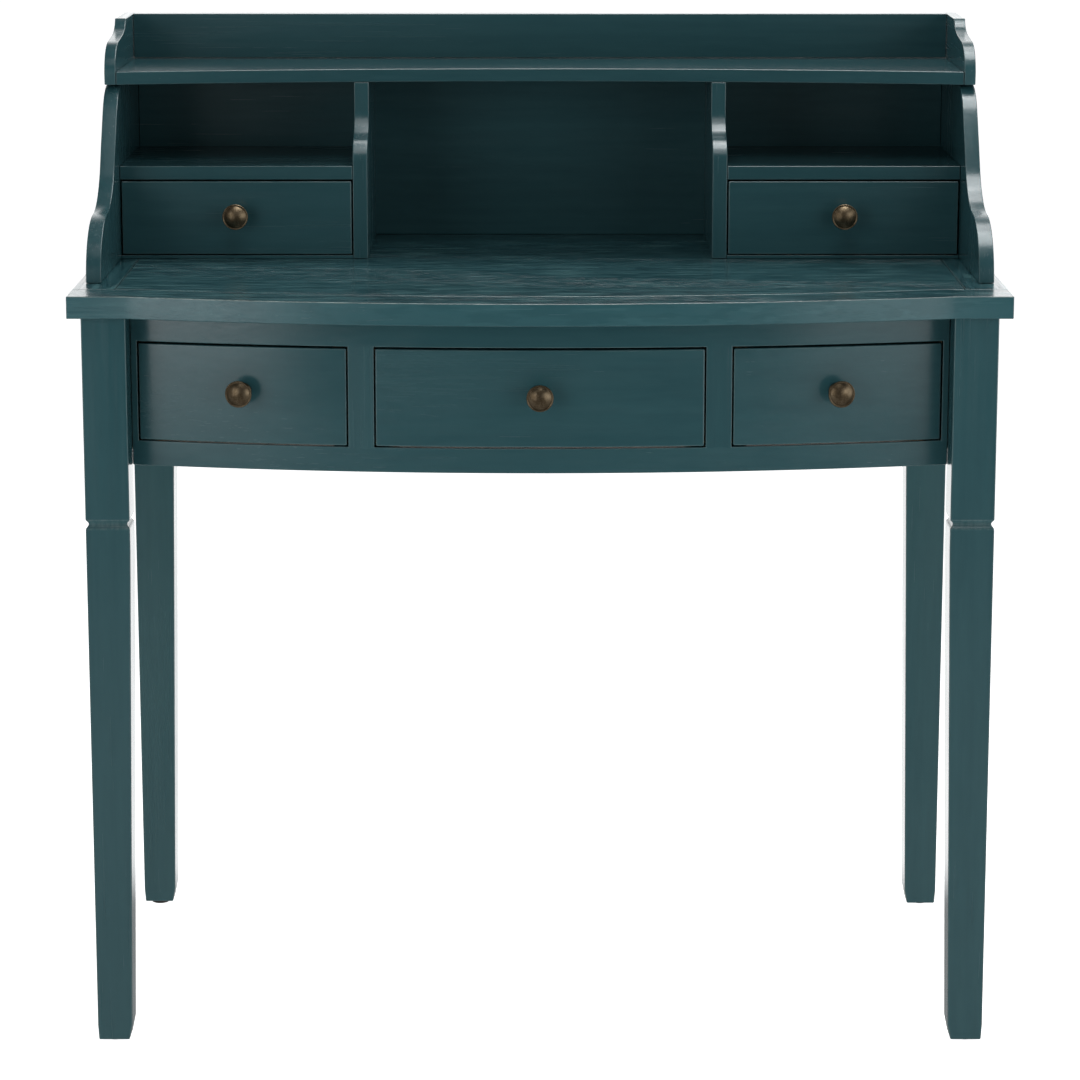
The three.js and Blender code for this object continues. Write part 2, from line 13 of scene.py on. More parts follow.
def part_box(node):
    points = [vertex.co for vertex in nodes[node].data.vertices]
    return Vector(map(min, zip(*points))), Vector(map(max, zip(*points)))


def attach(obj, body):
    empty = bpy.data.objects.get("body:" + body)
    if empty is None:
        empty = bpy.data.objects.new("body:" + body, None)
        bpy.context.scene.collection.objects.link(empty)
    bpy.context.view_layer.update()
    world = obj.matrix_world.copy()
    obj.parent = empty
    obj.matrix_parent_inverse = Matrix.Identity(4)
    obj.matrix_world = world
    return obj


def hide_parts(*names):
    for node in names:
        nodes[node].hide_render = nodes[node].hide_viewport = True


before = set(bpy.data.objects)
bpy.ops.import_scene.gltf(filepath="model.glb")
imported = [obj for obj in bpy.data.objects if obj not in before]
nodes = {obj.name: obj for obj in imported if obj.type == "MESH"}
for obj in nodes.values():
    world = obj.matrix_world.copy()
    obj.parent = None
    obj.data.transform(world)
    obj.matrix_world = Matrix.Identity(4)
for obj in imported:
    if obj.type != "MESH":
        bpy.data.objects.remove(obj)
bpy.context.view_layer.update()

# ---- Driving values --------------------------------------------------------------------------

CAMERA_DISTANCE = 3.487
CAMERA_HEIGHT = 1.2017
CAMERA_PITCH = 11.4  # degrees below the horizon
CAMERA_LENS = 121.6  # millimetres
CAMERA_SENSOR = 36.0  # millimetres wide
CAMERA_SHIFT = -0.05

PAINT = (0.0165, 0.062, 0.073)
PAINT_LIGHT = (0.0270, 0.084, 0.096)
PAINT_PORE = (0.008, 0.040, 0.049)
# pale threads in the grain of faces that point up: grain, and a painted highlight for the glints
# of the open grain
PAINT_THREAD_AND_GLINT = (0.060, 0.145, 0.155)
# worn paint on rubbed edges, and also a painted highlight: the light line where rounded edges
# catch the lamps
WORN_AND_GLINT_EDGE = (0.40, 0.46, 0.43)
RAW_WOOD = (0.60, 0.41, 0.23)
RAW_WOOD_DARK = (0.40, 0.24, 0.12)
RAW_WOOD_PALE = (0.72, 0.54, 0.34)
BRONZE = (0.155, 0.120, 0.077)
BRONZE_BROWN = (0.092, 0.067, 0.040)
BRONZE_DARK = (0.030, 0.021, 0.013)
STEEL = (0.55, 0.55, 0.53)
GLIDE_BLACK = (0.012, 0.011, 0.010)
FLOOR_WHITE = (0.86, 0.86, 0.86)
FLOOR_WHITER = (0.88, 0.88, 0.88)

# How finely each pattern is drawn: about how many of its spots fit in a metre along the grain,
# then across it. One number stands for all three directions.
FIBRES = (9.0, 420.0, 420.0)
PORES = (34.0, 850.0, 850.0)
STREAKS = (3.2, 95.0, 95.0)
FIGURE = (26.0, 135.0, 135.0)
THREADS_AND_GLINTS = (14.0, 125.0, 125.0)
CLOUDS = (2.5, 7.0, 7.0)
RUBBED = (38.0, 300.0, 300.0)
RIPPLE = 260.0
BARE_FIBRES = (10.0, 520.0, 520.0)
BARE_CLOUDS = (2.0, 9.0, 9.0)
BRONZE_SPOTS = 750.0
BRONZE_STAINS = 120.0
STEEL_SPOTS = 700.0
GLIDE_GRIT = 900.0
PAPER_TOOTH = 40.0

PAINTED_RINGS = 0.22  # growth rings show 0.63 of this apart on a board's face
BARE_RINGS = 0.18
WIDE_RINGS = 0.40
RING_STRETCH = (0.12, 1.0, 1.0)  # they run along the grain
TREE_SHIFTS = (9.0, 2.3, 1.7)  # at most how far one board's grain is shifted from another's

GRAIN_DEPTH = 0.00025  # how deep each surface's relief is
RIPPLE_DEPTH = 0.00004
BARE_DEPTH = 0.00015
BRONZE_DEPTH = 0.00006
GRIT_DEPTH = 0.00008
HOLLOW = 0.002  # a part of a knob with another part this near in front of it is dark

PAINT_ROUGHNESS = (0.19, 0.28)  # from one end of each surface's pattern to the other
BARE_ROUGHNESS = (0.55, 0.72)
BRONZE_ROUGHNESS = (0.46, 0.36)
STEEL_ROUGHNESS = (0.25, 0.42)
GLIDE_ROUGHNESS = 0.55
PAPER_ROUGHNESS = 0.9

OPEN_GRAIN = 1.0  # how much of the wood's relief shows through the paint
CLOSED_GRAIN = 0.2
EDGE_WEAR_AND_GLINT = 0.08  # at most how much of the worn colour shows on a rubbed edge: worn paint, and also a painted highlight along the edge
# the same on the desktop's seams, where the light seam lines are worn paint and a painted
# highlight
SEAM_WEAR_AND_GLINT = 0.7
# painted light: the desktop gets a lighter copy of the paint, standing in for its sheen and for
# light the hutch keeps from it
DESKTOP_PAINTED_LIGHT = 1.22

DESKTOP_EDGE = 0.0008  # how far each kind of edge is rounded over
LEG_EDGE = 0.0012
FRONT_EDGE = 0.0012
FRAME_EDGE = 0.0008
BOARD_EDGE = 0.0008
SEAM_EDGE = 0.0012
INNER_EDGE = 0.0003
WELD_REACH = 0.00001
SHARPEST_CURVE = math.radians(28)  # a corner sharper than this is an edge
COPLANAR = math.radians(0.2)
ROUNDING_STEPS = 3
FACE_SLOT = 0  # which of a board's materials each part of it shows
EDGE_SLOT = 1
STILE_SLOT = 2

DRAWERS = ("left", "center", "right", "upper_left", "upper_right")
APRON_BOW = 0.043
APRON_THICKNESS = 0.021
BOW_STEP = 0.012
BOWED_FRONT = 0.020  # thickness of the three lower drawer fronts
BOX_BOARD = 0.011
SMALL_BOX_BOARD = 0.009
JOINT = 0.0003  # the clearance that the CAD leaves between one board and the next
JOINT_PAINT_INSET = 0.002
JOINT_PAINT_DEPTH = 0.004

BOWED_KNOBS = {"left": -0.273, "center": 0.0, "right": 0.273}  # X of the knobs on the bow
KNOB_RADIUS = 0.0124
KNOB_LENGTH = 0.0227
KNOB_RIM = 0.0182  # how far the widest part of a knob stands out
KNOB_SEAT = 0.0003  # how far its foot stands off the drawer's front
KNOB_SCREW = (0.0042, 0.0022)  # radius and height of the head
PANEL_SCREW = (0.0036, 0.0016)
PANEL_SCREW_INSET = 0.012
SCREW_CLEARANCE = 0.0001
GLIDE_LIP = 0.0014  # at most how far a glide's lower edge is rounded
KNOB_STEPS = 64
SCREW_STEPS = 32
GLIDE_STEPS = 48
ON_AXIS = 1e-7  # a point nearer to the axis than this lies on it


# ---- Materials -------------------------------------------------------------------------------

class Graph:
    """A material's or a world's nodes. An input is a number, a tuple or a node's output."""

    def __init__(self, owner, shader="Principled BSDF"):
        owner.use_nodes = True
        self.owner = owner
        self.nodes = owner.node_tree.nodes
        self.links = owner.node_tree.links
        self.shader = self.nodes[shader]

    def put(self, socket, value):
        if isinstance(value, bpy.types.NodeSocket):
            self.links.new(value, socket)
        elif socket.type == "RGBA":
            socket.default_value = (*value, 1.0)
        else:
            socket.default_value = value

    def add(self, kind, inputs, output=0, **settings):
        made = self.nodes.new("ShaderNode" + kind)
        for name, value in settings.items():
            setattr(made, name, value)
        for key, value in inputs.items():
            self.put(made.inputs[key], value)
        return made.outputs[output]

    def coordinates(self, kind="Object"):
        return self.add("TexCoord", {}, kind)

    def axes(self, vector):
        """A vector's outputs, to be picked by "X", "Y" or "Z" or by number."""
        split = self.nodes.new("ShaderNodeSeparateXYZ")
        self.put(split.inputs[0], vector)
        return split.outputs

    def ray(self, kind):
        return self.add("LightPath", {}, f"Is {kind} Ray")

    def math(self, operation, first, second=0.0):
        return self.add("Math", {0: first, 1: second}, operation=operation)

    def times(self, first, second):
        return self.math("MULTIPLY", first, second)

    def weighted(self, *parts):
        """The sum of (value, weight) pairs, added up from the first."""
        total = self.times(*parts[0])
        for value, weight in parts[1:]:
            total = self.math("ADD", total, self.times(value, weight))
        return total

    def blend(self, share, first, second):
        """A colour that goes from first to second as share goes from 0 to 1."""
        sockets = {0: share, 6: first, 7: second}
        return self.add("Mix", sockets, 2, data_type="RGBA")

    def choose(self, share, first, second):
        """The same for a number."""
        return self.add("Mix", {0: share, 2: first, 3: second})

    def between(self, value, low, high, to_low=0.0, to_high=1.0, shape="SMOOTHSTEP"):
        sockets = {0: value, 1: low, 2: high, 3: to_low, 4: to_high}
        return self.add("MapRange", sockets, interpolation_type=shape)

    def stretch(self, vector, scale):
        if isinstance(scale, float):
            scale = (scale, scale, scale)
        return self.add("VectorMath", {0: vector, 1: scale}, operation="MULTIPLY")

    def noise(self, place, fineness, detail=2.0, roughness=0.5):
        sockets = {
            "Vector": self.stretch(place, fineness),
            "Scale": 1.0,
            "Detail": detail,
            "Roughness": roughness,
        }
        return self.add("TexNoise", sockets)

    def bump(self, height, distance, strength=1.0):
        sockets = {"Height": height, "Distance": distance, "Strength": strength}
        return self.add("Bump", sockets)

    def finish(self, **inputs):
        """Sets inputs of the shader and gives the material or world."""
        for name, value in inputs.items():
            self.put(self.shader.inputs[name.replace("_", " ")], value)
        return self.owner


def new_material(name):
    return Graph(bpy.data.materials.new(name))


def along_grain(graph, grain):
    """A point of the board with the grain along X. Each board is cut from its own tree."""
    place = graph.axes(graph.coordinates())
    order = {"x": (0, 1, 2), "y": (1, 0, 2), "z": (2, 0, 1)}[grain]
    chance = graph.add("ObjectInfo", {}, "Random")
    moved = [
        graph.math("ADD", place[axis], graph.times(chance, shift))
        for axis, shift in zip(order, TREE_SHIFTS)
    ]
    return graph.add("CombineXYZ", {0: moved[0], 1: moved[1], 2: moved[2]})


def growth_rings(graph, place, width, wander):
    """Bands where the board's face cuts the tree's rings, from 0 to 1 across each ring."""
    sockets = {
        "Vector": graph.stretch(place, RING_STRETCH),
        "Scale": 1.0 / width,
        "Distortion": wander,
        "Detail": 2.0,
        "Detail Scale": 1.2,
    }
    settings = {"wave_type": "BANDS", "bands_direction": "DIAGONAL", "wave_profile": "SAW"}
    return graph.add("TexWave", sockets, 1, **settings)


class PaintedWood(Graph):
    """Satin paint brushed thinly over wood. Where the grain is open its figure still shows."""

    def __init__(self, name, grain, relief):
        super().__init__(bpy.data.materials.new(name))
        self.relief = relief
        self.is_open = relief == OPEN_GRAIN
        self.place = along_grain(self, grain)
        self.facing = self.axes(self.coordinates("Normal"))
        self.upward = self.between(self.facing["Z"], 0.5, 0.95, 0.15, 1.0)
        self.fibres = self.noise(self.place, FIBRES, 3.0)
        self.streaks = self.noise(self.place, STREAKS, 3.0, 0.6)
        self.figure = self.noise(self.place, FIGURE, 2.0, 0.6)
        self.clouds = self.noise(self.place, CLOUDS)
        self.rings = growth_rings(self, self.place, PAINTED_RINGS, 5.0)
        early_wood = self.between(self.rings, 0.45, 1.0)
        open_pores = self.between(self.noise(self.place, PORES, 1.0), 0.56, 0.70)
        self.pores = self.times(open_pores, self.math("ADD", early_wood, 0.25))

    # the gain lightens the whole paint; on the desktop this is painted light
    def colour(self, painted_light_gain):
        relief = self.relief
        base, light, pore, thread_and_glint = (
            tuple(painted_light_gain * value for value in colour)
            for colour in (PAINT, PAINT_LIGHT, PAINT_PORE, PAINT_THREAD_AND_GLINT)
        )
        tone = self.weighted(
            (self.streaks, 0.3 + 0.1 * relief),
            (self.figure, 0.1 + 0.5 * relief),
            (self.clouds, 0.6 - 0.6 * relief),
        )
        spread = 0.30 - 0.20 * relief
        colour = self.blend(self.between(tone, 0.5 - spread, 0.5 + spread), base, light)
        colour = self.blend(self.times(self.pores, 0.6 * relief ** 2 + 0.05), colour, pore)
        if not self.is_open:
            return colour
        smooth = tuple((first + second) / 2 for first, second in zip(base, light))
        colour = self.blend(self.upward, smooth, colour)
        dark_figure = self.between(self.figure, 0.51, 0.44, 0.0, 0.9)
        colour = self.blend(self.times(dark_figure, self.upward), colour, pore)
        # pale threads on faces that point up: grain, and a painted highlight standing in for the
        # glints of the open grain under the lamps
        pale_thread_and_glint = self.between(self.noise(self.place, THREADS_AND_GLINTS), 0.57, 0.62, 0.0, 0.8)
        return self.blend(self.times(pale_thread_and_glint, self.upward), colour, thread_and_glint)

    def rubbed_and_glinting(self, colour, wear_and_glint):
        """The colour where hands rub it, most of all on edges that face forward. It is also a
        painted highlight: the light line that rounded edges show under the lamps.
        """
        rubbed_and_glinting = self.between(self.noise(self.place, RUBBED, 3.0, 0.65), 0.36, 0.62, 0.35, 1.0)
        forward = self.between(self.facing["Y"], -0.2, -0.9, 0.35, 1.0)
        share = self.times(rubbed_and_glinting, forward)
        if self.is_open:
            above = self.between(self.facing["Z"], -0.2, 0.4)
            patches = self.between(self.clouds, 0.42, 0.55, 0.35, 1.0)
            share = self.times(share, self.times(above, patches))
        return self.blend(self.times(share, wear_and_glint), colour, WORN_AND_GLINT_EDGE)

    def surface(self):
        """The grain's relief, and over it the fine ripple of the paint itself."""
        height = self.weighted(
            (self.fibres, 0.35),
            (self.streaks, 0.6),
            (self.figure, 0.8 * self.relief),
            (self.rings, 0.25 * self.relief),
            (self.pores, -0.9 * self.relief),
        )
        strength = self.upward if self.is_open else 1.0
        grain = self.bump(height, GRAIN_DEPTH * self.relief ** 2, strength)
        ripple = self.noise(self.place, RIPPLE, 1.0)
        sockets = {"Height": ripple, "Distance": RIPPLE_DEPTH, "Strength": 1.0, "Normal": grain}
        return self.add("Bump", sockets)


def paint(name, grain, relief, wear_and_glint=0.0, painted_light_gain=1.0):
    wood = PaintedWood(name, grain, relief)
    colour = wood.colour(painted_light_gain)
    if wear_and_glint:
        colour = wood.rubbed_and_glinting(colour, wear_and_glint)
    uneven = wood.math("ADD", wood.fibres, wood.clouds)
    roughness = wood.between(uneven, 0.7, 1.3, *PAINT_ROUGHNESS)
    return wood.finish(Base_Color=colour, Roughness=roughness, Normal=wood.surface())


def raw_wood(name, grain, light, dark, ring_width, back_board=None):
    """Sanded, unfinished wood for what is out of sight. Beyond back_board in Y it runs along X."""
    graph = new_material(name)
    place = along_grain(graph, grain)
    if back_board is not None:
        beyond = graph.math("GREATER_THAN", graph.axes(graph.coordinates())["Y"], back_board)
        sockets = {0: beyond, 4: place, 5: along_grain(graph, "x")}
        place = graph.add("Mix", sockets, 1, data_type="VECTOR")
    rings = growth_rings(graph, place, ring_width, 6.0)
    fibres = graph.noise(place, BARE_FIBRES, 3.0, 0.6)
    clouds = graph.noise(place, BARE_CLOUDS)
    tone = graph.weighted((rings, 0.45), (fibres, 0.45), (clouds, 0.3))
    colour = graph.blend(graph.between(tone, 0.25, 1.0), light, dark)
    roughness = graph.between(fibres, 0.3, 0.7, *BARE_ROUGHNESS)
    surface = graph.bump(fibres, BARE_DEPTH)
    return graph.finish(Base_Color=colour, Roughness=roughness, Normal=surface)


def antique_bronze():
    """Brown bronze, dark in its hollows and mottled where hands polish it."""
    graph = new_material("antique_bronze")
    place = graph.coordinates()
    spots = graph.noise(place, BRONZE_SPOTS, 3.0, 0.6)
    stains = graph.noise(place, BRONZE_STAINS)
    hollow = graph.add("AmbientOcclusion", {"Distance": HOLLOW}, "AO", samples=8)
    tone = graph.weighted((spots, 0.5), (stains, 0.5))
    colour = graph.blend(graph.between(tone, 0.42, 0.58), BRONZE_BROWN, BRONZE)
    colour = graph.blend(graph.between(hollow, 0.45, 0.95), BRONZE_DARK, colour)
    roughness = graph.between(tone, 0.3, 0.7, *BRONZE_ROUGHNESS)
    surface = graph.bump(spots, BRONZE_DEPTH)
    return graph.finish(Base_Color=colour, Roughness=roughness, Metallic=1.0, Normal=surface)


def zinc_steel():
    graph = new_material("zinc_steel")
    spots = graph.noise(graph.coordinates(), STEEL_SPOTS)
    shade = tuple(0.7 * value for value in STEEL)
    colour = graph.blend(graph.between(spots, 0.3, 0.7), STEEL, shade)
    roughness = graph.between(spots, 0.3, 0.7, *STEEL_ROUGHNESS)
    return graph.finish(Base_Color=colour, Roughness=roughness, Metallic=1.0)


def glide_plastic():
    graph = new_material("glide_plastic")
    grit = graph.noise(graph.coordinates(), GLIDE_GRIT)
    dusty = tuple(2.5 * value for value in GLIDE_BLACK)
    colour = graph.blend(graph.between(grit, 0.35, 0.65), GLIDE_BLACK, dusty)
    surface = graph.bump(grit, GRIT_DEPTH)
    return graph.finish(Base_Color=colour, Roughness=GLIDE_ROUGHNESS, Normal=surface)


# Where the floor's light sets in and where it is full, then how bright reflections see it
FLOOR_SHEEN_BACK = (0.15, 0.40, 1.9)  # by Y, behind the desk
FLOOR_SHEEN_NEAR = (-2.8, -2.0, 0.40)  # by Y, from in front of it backwards
FLOOR_SHEEN_SIDE = (0.9, 1.8, 0.10)  # by how far to either side
FLOOR_GLOW = 1.0  # the floor is as white as the room behind it
FLOOR_LIGHT = 0.58  # what the lit floor beyond the lamps' reach throws up at the desk


def floor_sheen(graph):
    """What reflections see: bright behind the desk, dimmer round it, dark far in front."""
    place = graph.axes(graph.coordinates())
    aside = graph.math("ABSOLUTE", place["X"])
    side, back, near = (
        graph.between(value, start, full, 0.0, brightness)
        for value, (start, full, brightness) in (
            (aside, FLOOR_SHEEN_SIDE),
            (place["Y"], FLOOR_SHEEN_BACK),
            (place["Y"], FLOOR_SHEEN_NEAR),
        )
    )
    return graph.math("MAXIMUM", graph.math("MAXIMUM", side, back), near)


def floor_paper():
    """White paper, clear from below, so that the underside of the desk can be seen."""
    graph = new_material("floor_paper")
    mirrored = graph.ray("Glossy")
    glow = graph.weighted(
        (mirrored, floor_sheen(graph)),
        (graph.ray("Camera"), FLOOR_GLOW),
        (graph.ray("Diffuse"), FLOOR_LIGHT),
    )
    tooth = graph.noise(graph.coordinates(), PAPER_TOOTH)
    colour = graph.blend(tooth, FLOOR_WHITE, FLOOR_WHITER)
    unlit = graph.blend(mirrored, colour, (0.0, 0.0, 0.0))
    graph.put(graph.shader.inputs["Emission Color"], (1.0, 1.0, 1.0))
    paper = graph.finish(Base_Color=unlit, Roughness=PAPER_ROUGHNESS, Emission_Strength=glow)
    from_below = graph.add("NewGeometry", {}, "Backfacing")
    clear = graph.add("BsdfTransparent", {})
    surface = graph.add("MixShader", {0: from_below, 1: graph.shader.outputs[0], 2: clear})
    graph.put(graph.nodes["Material Output"].inputs["Surface"], surface)
    return paper


# ---- Carried-over CAD nodes: rounded edges and their finish ----------------------------------

def add_rounding(board, width):
    """Rounds a board's edges. The rounding shows the board's edge material, where paint wears and
    where a painted highlight is drawn along the edge.
    """
    bevel = board.modifiers.new("bevel", "BEVEL")
    bevel.width = width
    bevel.segments = ROUNDING_STEPS
    bevel.limit_method = "ANGLE"
    bevel.angle_limit = SHARPEST_CURVE
    bevel.material = EDGE_SLOT
    bevel.use_clamp_overlap = False
    normals = board.modifiers.new("normals", "WEIGHTED_NORMAL")
    normals.keep_sharp = False


def round_edges(board, width, face, edge):
    """Joins up a CAD board's faces, rounds its edges and gives it its two materials."""
    board.data.materials.clear()
    board.data.materials.append(face)
    board.data.materials.append(edge)
    board.data.polygons.foreach_set("use_smooth", [True] * len(board.data.polygons))
    if "custom_normal" in board.data.attributes:
        board.data.attributes.remove(board.data.attributes["custom_normal"])
    weld = board.modifiers.new("weld", "WELD")
    weld.merge_threshold = WELD_REACH
    plane = board.modifiers.new("plane", "DECIMATE")
    plane.decimate_type = "DISSOLVE"
    plane.angle_limit = COPLANAR
    add_rounding(board, width)


DESKTOP_PAINT = ("paint_desktop_", "paint_seam_")  # on the faces and on the rounded edges, whose worn colour is also a painted highlight
BOARD_PAINT = ("paint_", "paint_edge_")
INNER_PAINT = ("paint_", "paint_")  # no rubbed edges and no painted highlight on them: out of reach
PAINTED_BOARDS = [
    # grain, edge rounding, paint, how the names begin
    ("x", DESKTOP_EDGE, DESKTOP_PAINT, ("desktop_front_border",)),
    ("x", SEAM_EDGE, DESKTOP_PAINT, ("desktop_field",)),
    ("y", DESKTOP_EDGE, DESKTOP_PAINT, ("desktop_left_border", "desktop_right_border")),
    ("x", INNER_EDGE, INNER_PAINT, ("hutch_floor", "hutch_back_panel")),
    ("x", BOARD_EDGE, BOARD_PAINT, ("back_apron", "gallery_back")),
    ("x", BOARD_EDGE, BOARD_PAINT, ("hutch_half_shelf", "hutch_top_shelf")),
    ("x", FRONT_EDGE, BOARD_PAINT, tuple(f"drawer_{drawer}_front" for drawer in DRAWERS)),
    ("y", BOARD_EDGE, BOARD_PAINT, ("side_apron", "gallery_side")),
    ("z", LEG_EDGE, BOARD_PAINT, ("leg_",)),
    ("z", BOARD_EDGE, BOARD_PAINT, ("hutch_side", "hutch_divider")),
]


def mix_paints():
    for grain in "xyz":
        paint("paint_" + grain, grain, CLOSED_GRAIN)
        paint("paint_edge_" + grain, grain, CLOSED_GRAIN, EDGE_WEAR_AND_GLINT)
    for grain in "xy":
        # the desktop's faces get a lighter copy of the paint: painted light
        paint("paint_desktop_" + grain, grain, OPEN_GRAIN, painted_light_gain=DESKTOP_PAINTED_LIGHT)
        paint("paint_seam_" + grain, grain, OPEN_GRAIN, SEAM_WEAR_AND_GLINT)


def mixed_paint(name):
    return bpy.data.materials[name]


def finish_painted_boards():
    for grain, width, paints, beginnings in PAINTED_BOARDS:
        face, edge = (mixed_paint(kind + grain) for kind in paints)
        for node in sorted(nodes):
            if node.startswith(beginnings):
                round_edges(nodes[node], width, face, edge)


def finish_bare_boards():
    long_wood = raw_wood("raw_wood_y", "y", RAW_WOOD, RAW_WOOD_DARK, BARE_RINGS)
    across_wood = raw_wood("raw_wood_x", "x", RAW_WOOD_PALE, RAW_WOOD, WIDE_RINGS)
    block_wood = raw_wood("raw_wood_z", "z", RAW_WOOD, RAW_WOOD_DARK, BARE_RINGS)
    for node in sorted(nodes):
        if node.endswith("_box"):
            board = SMALL_BOX_BOARD if "upper" in node else BOX_BOARD
            back_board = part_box(node)[1].y - board
            wood = raw_wood(
                node + "_wood", "y", RAW_WOOD, RAW_WOOD_DARK, BARE_RINGS, back_board)
        elif node.startswith("runner"):
            wood = long_wood
        elif node.startswith("drawer") and node.endswith("_bottom"):
            wood = across_wood
        elif node.startswith("corner_block"):
            wood = block_wood
        else:
            continue
        round_edges(nodes[node], BOARD_EDGE, wood, wood)


# ---- Apron face frame and joint paint: one coat of paint over several boards ------------------

def add_object(name, mesh, *materials):
    """Puts a finished bmesh in the scene."""
    data = bpy.data.meshes.new(name)
    mesh.to_mesh(data)
    mesh.free()
    for material in materials:
        data.materials.append(material)
    made = bpy.data.objects.new(name, data)
    bpy.context.scene.collection.objects.link(made)
    return made


def bow_radius():
    low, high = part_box("apron_top_rail")
    half = (high.x - low.x) / 2
    return (half ** 2 + APRON_BOW ** 2) / (2 * APRON_BOW)


def apron_stops(stiles):
    """Cuts along X, each with whether a stile stands between it and the next cut."""
    solid = [(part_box(name)[0].x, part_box(name)[1].x) for name in stiles]
    columns = []
    for near, far in zip(solid, solid[1:]):
        columns += [(near[0], near[1], True), (near[1], far[0], False)]
    columns.append((*solid[-1], True))
    stops = []
    for start, end, is_stile in columns:
        steps = max(1, round((end - start) / BOW_STEP))
        stops += [(start + (end - start) * step / steps, is_stile) for step in range(steps)]
    stops.append((columns[-1][1], True))
    return stops


def apron_corners(mesh, stops, levels, front_y):
    """The mesh's corners by cut, by front or back and by level, on the bow."""
    radius = bow_radius()
    centre_y = front_y + radius
    corners = {}
    for column, (x, _) in enumerate(stops):
        for side, reach in enumerate((radius, radius - APRON_THICKNESS)):
            y = centre_y - math.sqrt(reach ** 2 - x ** 2)
            for level, z in enumerate(levels):
                corners[column, side, level] = mesh.verts.new((x, y, z))
    return corners


def apron_faces(mesh, stops, corners):
    """Closes rows 0 and 2, which are the rails, and the stiles between them in row 1."""
    cells = {
        (column, row): row != 1 or stops[column][1]
        for column in range(len(stops) - 1) for row in range(3)
    }

    def quad(keys, material):
        face = mesh.faces.new([corners[key] for key in keys])
        face.smooth = True
        face.material_index = material

    for (column, row), filled in cells.items():
        if not filled:
            continue
        after, above = column + 1, row + 1
        wood = STILE_SLOT if row == 1 else FACE_SLOT
        for side in (0, 1):
            quad([(column, side, row), (after, side, row),
                  (after, side, above), (column, side, above)], wood)
        for neighbour, level in (((column, row - 1), row), ((column, row + 1), above)):
            if not cells.get(neighbour, False):
                quad([(column, 0, level), (after, 0, level),
                      (after, 1, level), (column, 1, level)], FACE_SLOT)
        for neighbour, end in (((column - 1, row), column), ((column + 1, row), after)):
            if not cells.get(neighbour, False):
                quad([(end, 0, row), (end, 1, row), (end, 1, above), (end, 0, above)], wood)


def add_apron_frame():
    """One bowed board with three openings, which stands for the two rails and the four stiles."""
    stiles = [
        "apron_end_stile_left", "apron_stile_left", "apron_stile_right", "apron_end_stile_right"]
    top_low, top_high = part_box("apron_top_rail")
    bottom_low, bottom_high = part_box("apron_bottom_rail")
    levels = [bottom_low.z, bottom_high.z, top_low.z, top_high.z]
    stops = apron_stops(stiles)
    mesh = bmesh.new()
    apron_faces(mesh, stops, apron_corners(mesh, stops, levels, top_low.y))
    loose = [vertex for vertex in mesh.verts if not vertex.link_faces]
    bmesh.ops.delete(mesh, geom=loose, context="VERTS")
    bmesh.ops.recalc_face_normals(mesh, faces=mesh.faces)
    rail, edge, stile = (mixed_paint(name) for name in ("paint_x", "paint_edge_x", "paint_z"))
    board = add_object("apron_face_frame", mesh, rail, edge, stile)
    add_rounding(board, FRAME_EDGE)
    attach(board, "desk")
    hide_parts("apron_top_rail", "apron_bottom_rail", *stiles)


def hutch_joints():
    """The hairline gaps round the hutch's back panel and under its two floors, as boxes."""
    low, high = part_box("hutch_back_panel")
    middle = (low.y + high.y) / 2
    rear = high.y - JOINT_PAINT_INSET
    joints = [
        ((low.x - JOINT, middle, low.z - JOINT), (high.x + JOINT, rear, low.z)),
        ((low.x - JOINT, middle, high.z), (high.x + JOINT, rear, high.z + JOINT)),
        ((low.x - JOINT, middle, low.z), (low.x, rear, high.z)),
        ((high.x, middle, low.z), (high.x + JOINT, rear, high.z)),
    ]
    for floor in ("hutch_floor_left", "hutch_floor_right"):
        low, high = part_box(floor)
        front = low.y + JOINT_PAINT_INSET
        back = front + JOINT_PAINT_DEPTH
        joints.append(((low.x, front, low.z - JOINT), (high.x, back, low.z)))
    return joints


def add_joint_paint():
    """Paint that has run into the hairline joints behind and under the hutch, and closes them."""
    mesh = bmesh.new()
    for low, high in hutch_joints():
        middle = (Vector(low) + Vector(high)) / 2
        size = Vector(high) - Vector(low)
        bmesh.ops.create_cube(mesh, size=1.0, matrix=Matrix.LocRotScale(middle, None, size))
    fill = add_object("hutch_joint_paint", mesh, mixed_paint("paint_x"))
    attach(fill, "desk")


# ---- Turned pieces: knobs, screws and glides --------------------------------------------------

HALF_TURN = Matrix.Rotation(math.pi, 4, "Z")


def turned(name, profile, steps, material):
    """A closed piece turned about -Y.

    The profile's points are (radius, distance), and it starts and ends on the axis.
    """
    mesh = bmesh.new()
    rings = []
    for radius, distance in profile:
        if radius < ON_AXIS:
            rings.append([mesh.verts.new((0, -distance, 0))])
            continue
        turn = [2 * math.pi * step / steps for step in range(steps)]
        rings.append([
            mesh.verts.new((radius * math.cos(angle), -distance, radius * math.sin(angle)))
            for angle in turn
        ])
    for near, far in zip(rings, rings[1:]):
        for step in range(steps):
            after = (step + 1) % steps
            corners = [near[step % len(near)], near[after % len(near)],
                       far[after % len(far)], far[step % len(far)]]
            mesh.faces.new(list(dict.fromkeys(corners)))
    bmesh.ops.recalc_face_normals(mesh, faces=mesh.faces)
    for face in mesh.faces:
        face.smooth = True
    return add_object(name, mesh, material)


def arc(centre, radii, start, end, steps):
    """Points on an ellipse about centre, between two angles in degrees."""
    points = []
    for step in range(steps + 1):
        angle = math.radians(start + (end - start) * step / steps)
        across = centre[0] + radii[0] * math.cos(angle)
        points.append((across, centre[1] + radii[1] * math.sin(angle)))
    return points


